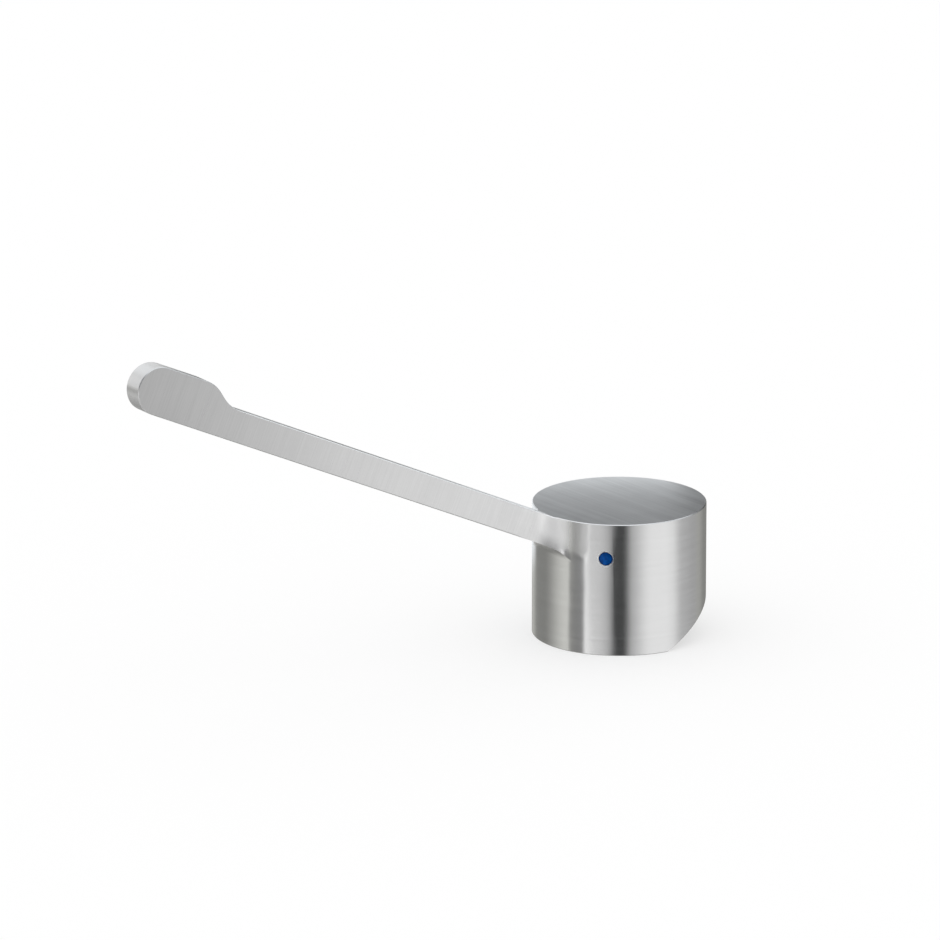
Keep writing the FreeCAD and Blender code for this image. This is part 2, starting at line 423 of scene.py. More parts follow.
@dataclass(frozen=True)
class HandleSteel:
    """Brushed steel of the hub and lever, with lines in each zone's own direction.

    Each span says where a soft edge starts and where it ends. A reach is measured from the hub's
    axis, a turn from the lever round that axis, a rise square to the lever from the origin, and a
    facing is a part of the normal.
    """

    lever_rise: float = math.radians(24.15)
    top_line_angle: float = math.radians(5.0)
    anisotropy: float = 0.95

    skirt: BrushStroke = BrushStroke(0.20 * MM, 12.0 * MM, 0.23, 0.14, 0.5)
    root: BrushStroke = BrushStroke(0.25 * MM, 12.0 * MM, 0.19, 0.14, 0.4)
    top: BrushStroke = BrushStroke(0.22 * MM, 24.0 * MM, 0.32, 0.34, 0.4)
    lever_side: BrushStroke = BrushStroke(0.30 * MM, 14.0 * MM, 0.30, 0.24, 0.2)
    lever_edge: BrushStroke = BrushStroke(0.20 * MM, 14.0 * MM, 0.30, 0.08, 0.1)
    inside: BrushStroke = BrushStroke(0.25 * MM, 6.0 * MM, 0.42, 0.15, 0.6)
    near_root_roughness: float = 0.28
    hollow_roughness: float = 0.42
    hollow_matt: float = 0.45
    ring_roughness: float = 0.45

    colour: Colour = (0.66, 0.66, 0.66, 1.0)
    # Painted light: the root's hollow is lighter than the steel around it.
    hollow_painted_light_colour: Colour = (0.90, 0.90, 0.90, 1.0)
    inside_colour: Colour = (0.40, 0.40, 0.39, 1.0)
    # Painted highlight on the upper side and edges of the lever's neck.
    neck_highlight_colour: Colour = (0.92, 0.92, 0.92, 1.0)
    # Painted highlight round the edges of the plug holes.
    ring_highlight_colour: Colour = (0.98, 0.98, 0.97, 1.0)

    lever_reach: Span = (23.4 * MM, 24.2 * MM)
    inside_reach: Span = (22.7 * MM, 22.4 * MM)
    side_facing: Span = (0.15, 0.32)
    top_facing: Span = (0.85, 0.95)
    root_turn: Span = (math.radians(40.0), math.radians(31.2))
    root_reach: Span = (29.0 * MM, 26.0 * MM)
    root_rise: Span = (1.64 * MM, 7.14 * MM)
    root_top_rise: Span = (10.84 * MM, 9.94 * MM)
    root_cold_x: Span = (-3.0 * MM, 0.0)
    hollow_reach: Span = (22.95 * MM, 23.4 * MM)
    hollow_turn: Span = (math.radians(27.0), math.radians(16.2))
    near_root_y: Span = (-33.0 * MM, -27.0 * MM)
    neck_start_y: Span = (-23.4 * MM, -24.2 * MM)
    neck_end_y: Span = (-124.0 * MM, -114.0 * MM)
    neck_facing: Span = (0.1, 0.4)
    ring_radius: Span = (2.2 * MM, 2.1 * MM)

    patch_size: float = 11.0 * MM
    patch_shade: Span = (0.97, 1.03)
    speck_size: float = 2.2 * MM
    speck_shade: Span = (1.0, 1.12)
    broad_share: float = 0.4
    streak_roughness: float = 0.12
    patch_roughness: float = 0.06
    relief_depth: float = 0.003 * MM
    wave_height: float = 12.0

    @property
    def strokes(self) -> dict[Zone, BrushStroke]:
        """The brushing of each zone."""
        return {
            Zone.SKIRT: self.skirt,
            Zone.ROOT: self.root,
            Zone.TOP: self.top,
            Zone.LEVER_SIDE: self.lever_side,
            Zone.LEVER_EDGE: self.lever_edge,
            Zone.INSIDE: self.inside,
        }

    @property
    def along_lever(self) -> Vector:
        """Direction of the lever's underside, outwards."""
        return Vector((0.0, -math.cos(self.lever_rise), math.sin(self.lever_rise)))

    @property
    def up_lever(self) -> Vector:
        """Direction square to the lever's underside, upwards."""
        return Vector((0.0, math.sin(self.lever_rise), math.cos(self.lever_rise)))

    @property
    def along_top(self) -> Vector:
        """Direction of the brush lines on the hub's top."""
        return Vector((math.cos(self.top_line_angle), math.sin(self.top_line_angle), 0.0))

    @property
    def across_top(self) -> Vector:
        """Direction square to the brush lines on the hub's top."""
        return UP.cross(self.along_top)

    def around_hub(self, bench: NodeBench) -> list[Socket]:
        """Measures a place from the hub's axis.

        Args:
            bench: where the nodes go.

        Returns:
            Its distance from the axis, and its angle from the lever on either side.
        """
        x, y, _ = bench.parts(bench.place)
        reach = bench.vector("LENGTH", bench.joined(x, y, 0.0))
        turn = bench.math("ARCTAN2", bench.math("ABSOLUTE", x), bench.product(y, -1.0))
        return [reach, turn]

    def masks(self, bench: NodeBench) -> Masks:
        """Finds the zones from place and direction.

        Args:
            bench: where the nodes go.

        Returns:
            The share of each zone but the skirt, from 0 to 1. The skirt has what they leave.
        """
        across, _, upwards = bench.parts(bench.normal)
        reach, turn = self.around_hub(bench)
        rise = bench.vector("DOT_PRODUCT", bench.place, self.up_lever)
        on_lever = bench.smooth(reach, *self.lever_reach)
        on_hub = bench.math("SUBTRACT", 1.0, on_lever)
        sideways = bench.smooth(bench.math("ABSOLUTE", across), *self.side_facing)
        level = bench.smooth(upwards, *self.top_facing)
        upright = bench.math("SUBTRACT", 1.0, level)
        below_top = bench.math(
            "MAXIMUM",
            bench.smooth(rise, *self.root_top_rise),
            bench.smooth(bench.parts(bench.place)[0], *self.root_cold_x),
        )
        root = bench.product(
            bench.smooth(turn, *self.root_turn),
            bench.smooth(rise, *self.root_rise),
            bench.smooth(reach, *self.root_reach),
            upright,
            below_top,
        )
        return {
            Zone.LEVER_SIDE: bench.product(on_lever, sideways),
            Zone.ROOT: root,
            Zone.LEVER_EDGE: bench.product(on_lever, bench.math("SUBTRACT", 1.0, sideways)),
            Zone.TOP: bench.product(on_hub, level),
            Zone.INSIDE: bench.product(bench.smooth(reach, *self.inside_reach), upright),
        }

    def layered(
        self, bench: NodeBench, masks: Masks, values: dict[Zone, object], kind: str = "FLOAT"
    ) -> Socket:
        """Lays each zone's value over the skirt's by its mask.

        Args:
            bench: where the nodes go.
            masks: the share of each zone.
            values: a value, vector or colour for each zone.
            kind: FLOAT, VECTOR or RGBA.

        Returns:
            The value at each place.
        """
        result = values[Zone.SKIRT]
        for zone, mask in masks.items():
            result = bench.blend(mask, result, values[zone], kind)
        return result

    def streaks(self, bench: NodeBench, shared: Finishes, masks: Masks) -> Socket:
        """Lays the brush lines of every zone.

        Args:
            bench: where the nodes go.
            shared: the shared groups.
            masks: the share of each zone.

        Returns:
            Streaks around 0.5, fine and broad ones together.
        """
        x, y, z = bench.parts(bench.place)
        along_top, across_top, along_bar, above_bar = (
            bench.vector("DOT_PRODUCT", bench.place, direction)
            for direction in (self.along_top, self.across_top, self.along_lever, self.up_lever)
        )
        axes = {
            Zone.SKIRT: (z, x, y),
            Zone.ROOT: (bench.math("SUBTRACT", y, x), z, x),
            Zone.TOP: (across_top, along_top, z),
            Zone.LEVER_SIDE: (along_bar, above_bar, x),
            Zone.LEVER_EDGE: (x, along_bar, above_bar),
            Zone.INSIDE: (z, x, y),
        }
        streaks = {}
        for zone, (across, along, beside) in axes.items():
            brushing = self.strokes[zone]
            lines = bench.group(
                shared.brush,
                Across=across,
                Along=along,
                Beside=beside,
                Pitch=brushing.pitch,
                Stroke=brushing.stroke,
            ).outputs
            streaks[zone] = bench.blend(self.broad_share, lines["Fine"], lines["Broad"])
        return self.layered(bench, masks, streaks)

    def tangent(self, bench: NodeBench, masks: Masks) -> Socket:
        """Finds the direction square to the brush lines, in which the reflection is smeared.

        Args:
            bench: where the nodes go.
            masks: the share of each zone.

        Returns:
            The tangent.
        """
        level = bench.vector("CROSS_PRODUCT", bench.normal, UP)
        facing = bench.math("SIGN", bench.parts(bench.normal)[0])
        values = {
            Zone.SKIRT: UP,
            Zone.ROOT: bench.vector("SCALE", level, facing),
            Zone.TOP: self.across_top,
            Zone.LEVER_SIDE: self.along_lever,
            Zone.LEVER_EDGE: (1.0, 0.0, 0.0),
            Zone.INSIDE: UP,
        }
        return bench.vector("NORMALIZE", self.layered(bench, masks, values, "VECTOR"))

    def neck_painted_highlight(self, bench: NodeBench) -> Socket:
        """Finds the upper side and edges of the lever's neck, which are painted lighter as a
        painted highlight.

        Args:
            bench: where the nodes go.

        Returns:
            A share from 0 to 1.
        """
        y = bench.parts(bench.place)[1]
        facing = bench.vector("DOT_PRODUCT", bench.normal, self.up_lever)
        return bench.product(
            bench.smooth(facing, *self.neck_facing),
            bench.smooth(y, *self.neck_start_y),
            bench.smooth(y, *self.neck_end_y),
        )

    def ring(self, bench: NodeBench) -> Socket:
        """Finds the rings round the two plug holes, which are painted bright as a painted highlight
        on their edges.

        Args:
            bench: where the nodes go.

        Returns:
            A share from 0 to 1.
        """
        x, y, z = bench.parts(bench.place)
        centre = Vector((math.sin(PLUG_ANGLE), -math.cos(PLUG_ANGLE), 0.0)) * HUB_RADIUS
        centre.z = PLUG_HEIGHT
        mirrored = bench.joined(bench.math("ABSOLUTE", x), y, z)
        far = bench.vector("LENGTH", bench.vector("SUBTRACT", mirrored, centre))
        return bench.smooth(far, *self.ring_radius)

    def hollow(self, bench: NodeBench) -> Socket:
        """Finds the root's hollow and the wall beside it, which a fine wheel left matt; its lighter
        colour is painted light.

        Args:
            bench: where the nodes go.

        Returns:
            A share from 0 to 1.
        """
        reach, turn = self.around_hub(bench)
        off_wall = bench.smooth(reach, *self.hollow_reach)
        return bench.math("MAXIMUM", off_wall, bench.smooth(turn, *self.hollow_turn))

    def roughness(self, bench: NodeBench, masks: Masks, hollow: object) -> Socket:
        """Finds how rough the brushing is, before streaks and patches.

        Args:
            bench: where the nodes go.
            masks: the share of each zone.
            hollow: the share of the root's hollow.

        Returns:
            The roughness.
        """
        near_root = bench.smooth(bench.parts(bench.place)[1], *self.near_root_y)
        rough: dict[Zone, object] = {zone: item.roughness for zone, item in self.strokes.items()}
        for zone, share, value in (
            (Zone.LEVER_SIDE, near_root, self.near_root_roughness),
            (Zone.ROOT, hollow, self.hollow_roughness),
        ):
            rough[zone] = bench.blend(share, rough[zone], value)
        return self.layered(bench, masks, rough)

    def build(self, shared: Finishes) -> bpy.types.Material:
        """Builds the material.

        Args:
            shared: the shared groups.

        Returns:
            The brushed steel.
        """
        material, bench, shader = new_material("handle brushed steel")
        masks = self.masks(bench)
        streak = self.streaks(bench, shared, masks)
        handling = bench.group(
            shared.handling, Place=bench.place, Size=self.patch_size, Speck=self.speck_size
        ).outputs
        hollow = self.hollow(bench)
        ring = self.ring(bench)
        swing = bench.math("SUBTRACT", streak, NOISE_MIDDLE)

        strokes = self.strokes.items()
        depth = self.layered(bench, masks, {zone: item.shade for zone, item in strokes})
        relief = self.layered(bench, masks, {zone: item.relief for zone, item in strokes})
        shade = bench.product(
            bench.math("MULTIPLY_ADD", bench.product(swing, 2.0), depth, 1.0),
            bench.spread(handling["Patch"], *self.patch_shade),
            bench.spread(handling["Specks"], *self.speck_shade),
        )
        # The hollow's lower metallic is a matt finish; its lighter colour is painted light.
        matt = bench.product(hollow, masks[Zone.ROOT])
        base: object = self.colour
        for share, colour in (
            (matt, self.hollow_painted_light_colour),
            (masks[Zone.INSIDE], self.inside_colour),
            # Painted highlight along the neck's upper side and edges.
            (self.neck_painted_highlight(bench), self.neck_highlight_colour),
            # Painted highlight round the plug holes.
            (ring, self.ring_highlight_colour),
        ):
            base = bench.blend(share, base, colour, "RGBA")
        bench.feed(shader.inputs["Base Color"], bench.vector("SCALE", base, shade))
        metal = bench.math("MULTIPLY_ADD", matt, -self.hollow_matt, 1.0)
        bench.feed(shader.inputs["Metallic"], metal)

        rough = self.roughness(bench, masks, hollow)
        rough = bench.blend(ring, rough, self.ring_roughness)
        uneven = bench.math("SUBTRACT", handling["Patch"], NOISE_MIDDLE)
        uneven = bench.product(uneven, self.patch_roughness)
        uneven = bench.math("MULTIPLY_ADD", swing, self.streak_roughness, uneven)
        bench.feed(shader.inputs["Roughness"], bench.math("ADD", rough, uneven))

        wave = bench.product(handling["Wave"], self.wave_height)
        height = bench.math("MULTIPLY_ADD", streak, relief, wave)
        bench.emboss(shader, height, self.relief_depth)
        bench.feed(shader.inputs["Tangent"], self.tangent(bench, masks))
        shader.inputs["Anisotropic"].default_value = self.anisotropy
        return material


@dataclass(frozen=True)
class IndexEnamel:
    """Glossy coloured filling of an index plug, darker towards its rim, with lighter mottled
    patches that are partly random tone and partly painted highlight.
    """

    name: str
    deep: Colour
    light: Colour
    centre: Vector
    radius: float
    rim: Span = (1.02, 0.72)
    cloud_scale: float = 900.0
    cloud_detail: float = 2.0
    cloud_share: float = 0.4
    patch_size: float = 0.9 * MM
    speck_size: float = 0.35 * MM
    mottle_and_glint: Span = (0.38, 0.66)
    mottle_and_glint_share: Span = (0.35, 1.0)
    roughness: Span = (0.18, 0.30)
    relief_depth: float = 0.01 * MM
    coat: float = 0.12
    coat_roughness: float = 0.04
    sheen_level: float = 0.03

    def build(self, shared: Finishes) -> bpy.types.Material:
        """Builds the material.

        Args:
            shared: the shared groups.

        Returns:
            The enamel.
        """
        material, bench, shader = new_material(self.name)
        far = bench.vector("LENGTH", bench.vector("SUBTRACT", bench.place, self.centre))
        inner = bench.smooth(far, *(self.radius * share for share in self.rim))
        cloud = bench.noise(bench.place, self.cloud_scale, self.cloud_detail)
        patch = bench.group(
            shared.handling, Place=bench.place, Size=self.patch_size, Speck=self.speck_size
        ).outputs["Patch"]
        # Lighter mottled patches: partly random tone, partly painted highlight.
        mottle_and_glint = bench.smooth(bench.blend(self.cloud_share, patch, cloud), *self.mottle_and_glint)
        share = bench.product(inner, bench.spread(mottle_and_glint, *self.mottle_and_glint_share))
        bench.feed(shader.inputs["Base Color"], bench.blend(share, self.deep, self.light, "RGBA"))
        bench.feed(shader.inputs["Roughness"], bench.spread(cloud, *self.roughness))
        bench.emboss(shader, cloud, self.relief_depth)
        shader.inputs["Specular IOR Level"].default_value = self.sheen_level
        shader.inputs["Coat Weight"].default_value = self.coat
        shader.inputs["Coat Roughness"].default_value = self.coat_roughness
        return material


@dataclass(frozen=True)
class ScrewSteel:
    """Turned steel of the grub screw, with lines round its axis."""

    colour: tuple[float, float, float] = (0.42, 0.42, 0.43)
    pitch: float = 0.12 * MM
    stroke: float = 2.0 * MM
    patch_size: float = 1.5 * MM
    speck_size: float = 0.5 * MM
    line_shade: Span = (0.8, 1.2)
    patch_shade: Span = (0.9, 1.1)
    roughness: Span = (0.28, 0.44)
    relief_depth: float = 0.006 * MM

    def build(self, shared: Finishes) -> bpy.types.Material:
        """Builds the material.

        Args:
            shared: the shared groups.

        Returns:
            The turned steel.
        """
        material, bench, shader = new_material("screw turned steel")
        x, y, z = bench.parts(bench.place)
        lines = bench.group(
            shared.brush, Across=y, Along=x, Beside=z, Pitch=self.pitch, Stroke=self.stroke
        ).outputs["Fine"]
        patch = bench.group(
            shared.handling, Place=bench.place, Size=self.patch_size, Speck=self.speck_size
        ).outputs["Patch"]
        shade = bench.product(
            bench.spread(lines, *self.line_shade), bench.spread(patch, *self.patch_shade)
        )
        bench.feed(shader.inputs["Base Color"], bench.vector("SCALE", self.colour, shade))
        bench.feed(shader.inputs["Roughness"], bench.spread(lines, *self.roughness))
        bench.emboss(shader, lines, self.relief_depth)
        shader.inputs["Metallic"].default_value = 1.0
        return material


def finished_object(
    name: str, bm: bmesh.types.BMesh, material: bpy.types.Material
) -> bpy.types.Object:
    """Turns a bmesh into an object at the origin, smooth shaded by angle.

    Args:
        name: the piece's name.
        bm: its mesh, in place. It is freed.
        material: its material.

    Returns:
        The object.
    """
    bmesh.ops.remove_doubles(bm, verts=bm.verts, dist=MERGE_DISTANCE)
    bmesh.ops.recalc_face_normals(bm, faces=bm.faces)
    for face in bm.faces:
        face.smooth = True
    for edge in bm.edges:
        edge.smooth = edge.calc_face_angle(0.0) < SHARP_ANGLE
    mesh = bpy.data.meshes.new(name)
    bm.to_mesh(mesh)
    bm.free()
    mesh.materials.append(material)
    piece = bpy.data.objects.new(name, mesh)
    bpy.context.scene.collection.objects.link(piece)
    return piece


def turned(outline: list[Span], steps: int) -> bmesh.types.BMesh:
    """Turns an outline once round the Z axis.

    Args:
        outline: its radii and heights, in order.
        steps: the number of faces round the axis.

    Returns:
        A bmesh of the turned shape.
    """
    bm = bmesh.new()
    verts = [bm.verts.new((radius, 0.0, height)) for radius, height in outline]
    edges = [bm.edges.new(pair) for pair in zip(verts, verts[1:])]
    bmesh.ops.spin(
        bm,
        geom=verts + edges,
        cent=(0.0, 0.0, 0.0),
        axis=UP,
        angle=2 * math.pi,
        steps=steps,
        use_merge=True,
    )
    return bm


@dataclass
class HandleBody:
    """The steel casting, shown by its CAD node."""

    steel: HandleSteel = field(default_factory=HandleSteel)
    node: str = "handle_body"

    def build(self, nodes: dict[str, bpy.types.Object], shared: Finishes) -> bpy.types.Object:
        """Dresses the node.

        Args:
            nodes: the CAD nodes.
            shared: the shared groups.

        Returns:
            The node.
        """
        body = nodes[self.node]
        body.material_slots[0].material = self.steel.build(shared)
        return body


@dataclass
class IndexPlug:
    """A domed enamel plug beside the lever, in place of its CAD node."""

    side: Side
    floor: float = 21.2 * MM
    length: float = 1.7 * MM
    dome: float = 0.2 * MM
    radius: float = 1.82 * MM
    lip: float = 0.12 * MM
    lip_steps: int = 4
    rings: int = 14
    steps: int = 96
    clean_up: float = 0.0001 * MM

    @property
    def node(self) -> str:
        """Name of the CAD node that the plug stands for."""
        return "cold_index" if self.side is Side.COLD else "hot_index"

    @property
    def outward(self) -> Vector:
        """Level direction from the hub's axis through the plug."""
        return Vector((self.side.value * math.sin(PLUG_ANGLE), -math.cos(PLUG_ANGLE), 0.0))

    def place(self, along: float) -> Vector:
        """Gives the point on the plug's axis at a distance from the hub's axis."""
        return self.outward * along + UP * PLUG_HEIGHT

    def enamel(self) -> IndexEnamel:
        """Picks the filling of the plug's side.

        Returns:
            Blue enamel on the cold side and red on the hot one.
        """
        name = self.side.name.lower() + " enamel"
        face = self.place(self.floor + self.length)
        return IndexEnamel(name, *ENAMELS[self.side], face, self.radius)

    def outline(self) -> list[Span]:
        """Draws half the plug's outline, axis along +Z and floor at 0.

        Returns:
            Its radii and heights, from the floor's middle to the dome's.
        """
        rim = self.radius - self.lip
        shoulder = self.length - self.dome - self.lip
        crown = (rim ** 2 + self.dome ** 2) / (2 * self.dome)
        slope = math.asin(rim / crown)
        points = [(0.0, 0.0), (self.radius, 0.0), (self.radius, shoulder)]
        for step in range(1, self.lip_steps + 1):
            turn = math.pi / 2 * step / self.lip_steps
            points.append((rim + self.lip * math.cos(turn), shoulder + self.lip * math.sin(turn)))
        for step in range(1, self.rings + 1):
            turn = slope * (1 - step / self.rings)
            points.append((crown * math.sin(turn), self.length - crown + crown * math.cos(turn)))
        return points

    def build(self, shared: Finishes) -> bpy.types.Object:
        """Turns the plug, puts it in its hole and dresses it.

        Args:
            shared: the shared groups.

        Returns:
            The plug.
        """
        bm = turned(self.outline(), self.steps)
        bmesh.ops.dissolve_degenerate(bm, dist=self.clean_up, edges=bm.edges)
        turn = UP.rotation_difference(self.outward).to_matrix().to_4x4()
        place = Matrix.Translation(self.place(self.floor))
        bmesh.ops.transform(bm, matrix=place @ turn, verts=bm.verts)
        plug = finished_object(self.node + "_enamel", bm, self.enamel().build(shared))
        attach(plug, "root")
        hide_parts(self.node)
        return plug


@dataclass
class GrubScrew:
    """The threaded grub screw with its hexagon socket, in place of its CAD node."""

    radius: float = 2.5 * MM
    root_radius: float = 2.1 * MM
    length: float = 5.0 * MM
    tip_y: float = 4.1 * MM
    height: float = 7.0 * MM
    pitch: float = 0.8 * MM
    crest_share: float = 0.25
    key: float = 2.5 * MM
    key_depth: float = 2.5 * MM
    key_sides: int = 6
    drill_share: float = 1 / 6
    mouth_share: float = 1.12
    point: float = 0.7 * MM
    rim: float = 0.3 * MM
    steps: int = 48

    @property
    def key_corner(self) -> float:
        """Distance of the hexagon's corners from the axis."""
        return self.key / math.sqrt(3.0)

    def outline(self) -> list[Span]:
        """Draws half the outline, axis along +Z and tip at 0, with the thread as even rings.

        Returns:
            Its radii and heights, from the tip's middle to the socket's mouth.
        """
        low = (1 - self.crest_share) / 2 * self.pitch
        high = (1 + self.crest_share) / 2 * self.pitch
        points = [
            (0.0, 0.0),
            (self.root_radius - self.point / 2, 0.0),
            (self.root_radius, self.point / 2),
        ]
        up = self.point
        while up + self.pitch < self.length - self.rim:
            points += [(self.root_radius, up), (self.radius, up + low), (self.radius, up + high)]
            up += self.pitch
        points += [
            (self.root_radius, up),
            (self.radius - self.rim, self.length - self.rim),
            (self.radius - self.rim * 2, self.length),
            (self.key_corner * self.mouth_share, self.length),
        ]
        return points

    def socket(self, bm: bmesh.types.BMesh) -> None:
        """Adds the hexagon socket inside the head's open ring and closes it.

        Args:
            bm: where it is added.
        """
        bmesh.ops.remove_doubles(bm, verts=bm.verts, dist=MERGE_DISTANCE)
        ring = [edge for edge in bm.edges if edge.is_boundary]
        made = bmesh.ops.create_circle(
            bm, cap_ends=False, segments=self.key_sides, radius=self.key_corner
        )
        bmesh.ops.translate(bm, verts=made["verts"], vec=UP * self.length)
        mouth = [edge for edge in bm.edges if edge.is_wire]
        bmesh.ops.subdivide_edges(bm, edges=mouth, cuts=self.steps // self.key_sides - 1)
        mouth = [edge for edge in bm.edges if edge.is_wire]
        bmesh.ops.bridge_loops(bm, edges=ring + mouth)
        walls = bmesh.ops.extrude_edge_only(bm, edges=mouth)["geom"]
        deep = [item for item in walls if isinstance(item, bmesh.types.BMVert)]
        bmesh.ops.translate(bm, verts=deep, vec=-UP * self.key_depth)
        loop = [
            item for item in walls if isinstance(item, bmesh.types.BMEdge) and item.is_boundary
        ]
        bottom = bmesh.ops.edgeloop_fill(bm, edges=loop)["faces"]
        poked = bmesh.ops.poke(bm, faces=bottom)["verts"]
        bmesh.ops.translate(bm, verts=poked, vec=-UP * self.key * self.drill_share)

    def build(self, shared: Finishes) -> bpy.types.Object:
        """Turns the screw, puts it in its hole and dresses it.

        Args:
            shared: the shared groups.

        Returns:
            The screw.
        """
        bm = turned(self.outline(), self.steps)
        self.socket(bm)
        turn = Matrix.Rotation(-math.pi / 2, 4, "X")
        place = Matrix.Translation((0.0, self.tip_y, self.height))
        bmesh.ops.transform(bm, matrix=place @ turn, verts=bm.verts)
        screw = finished_object("set_screw_turned", bm, ScrewSteel().build(shared))
        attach(screw, "root")
        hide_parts("set_screw")
        return screw


def mirrored_sheet(
    name: str, corners: list[Vector], material: bpy.types.Material
) -> bpy.types.Object:
    """Makes a flat sheet of the studio, seen by nothing but reflections.

    Args:
        name: the sheet's name.
        corners: its corners in order.
        material: its material.

    Returns:
        The sheet.
    """
    bm = bmesh.new()
    bm.faces.new([bm.verts.new(corner) for corner in corners])
    item = finished_object(name, bm, material)
    item.visible_camera = False
    item.visible_diffuse = False
    item.visible_transmission = False
    item.visible_shadow = False
    return item


@dataclass(frozen=True)
class SoftPanel:
    """One upright light panel of the studio, given by the directions where it starts and stops."""

    rise_start: float
    rise_end: float
    fall_start: float
    fall_end: float
    level: float

    def share(self, bench: NodeBench, azimuth: object) -> Socket:
        """Finds how much of the panel lies at an azimuth.

        Args:
            bench: where the nodes go.
            azimuth: degrees from the lever's direction towards the cold side.

        Returns:
            A share from 0 to 1.
        """
        rise = bench.smooth(azimuth, self.rise_start, self.rise_end)
        fall = bench.smooth(azimuth, self.fall_end, self.fall_start)
        return bench.product(rise, fall)


@dataclass(frozen=True)
class Card:
    """A card that only the steel mirrors, bright in the middle and soft at its edges."""

    name: str
    centre: Vector
    facing: Vector
    half_width: float
    half_height: float
    soft: float
    level: float
    tint: Colour = WHITE

    @property
    def beside(self) -> Vector:
        """Level direction along the card."""
        return UP.cross(self.facing)

    def material(self) -> bpy.types.Material:
        """Builds the card's glow.

        Returns:
            Emission in the middle that gives way to clear air at the edges.
        """
        material, bench = bare_material(self.name)
        offset = bench.vector("SUBTRACT", bench.place, self.centre)
        across = bench.math("ABSOLUTE", bench.vector("DOT_PRODUCT", offset, self.beside))
        up = bench.math("ABSOLUTE", bench.parts(offset)[2])
        share = bench.product(
            bench.smooth(across, self.half_width, self.half_width - self.soft),
            bench.smooth(up, self.half_height, self.half_height - self.soft),
        )
        clear = bench.result("ShaderNodeBsdfTransparent")
        glow = bench.result("ShaderNodeEmission", self.tint, self.level)
        bench.show(bench.result("ShaderNodeMixShader", share, clear, glow))
        return material

    def build(self) -> bpy.types.Object:
        """Stands the card up in its place.

        Returns:
            The card.
        """
        corners = [
            self.centre + self.beside * across * self.half_width + UP * up * self.half_height
            for across, up in ((-1, -1), (1, -1), (1, 1), (-1, 1))
        ]
        return mirrored_sheet(self.name, corners, self.material())


@dataclass(frozen=True)
class Scrim:
    """Grey gauze beside the lever, upright along it, that dims what the lever's far end mirrors."""

    name: str = "studio_scrim"
    offset: float = 60.0 * MM
    start: float = -260.0 * MM
    end: float = 20.0 * MM
    near_fade: Span = (-20.0 * MM, -130.0 * MM)
    far_fade: Span = (-260.0 * MM, -150.0 * MM)
    low: float = -60.0 * MM
    high: float = 110.0 * MM
    dimming: float = 0.45

    def material(self) -> bpy.types.Material:
        """Builds the gauze.

        Returns:
            Clear air that turns grey towards the lever's far end and clears up again past it.
        """
        material, bench = bare_material(self.name)
        along = bench.parts(bench.place)[1]
        share = bench.product(
            bench.smooth(along, *self.near_fade), bench.smooth(along, *self.far_fade)
        )
        level = bench.math("MULTIPLY_ADD", share, -self.dimming, 1.0)
        grey = bench.joined(level, level, level)
        bench.show(bench.result("ShaderNodeBsdfTransparent", grey))
        return material

    def build(self) -> bpy.types.Object:
        """Hangs the gauze in its place.

        Returns:
            The gauze.
        """
        corners = [
            Vector((self.offset, along, up))
            for along, up in (
                (self.start, self.low),
                (self.end, self.low),
                (self.end, self.high),
                (self.start, self.high),
            )
        ]
        return mirrored_sheet(self.name, corners, self.material())


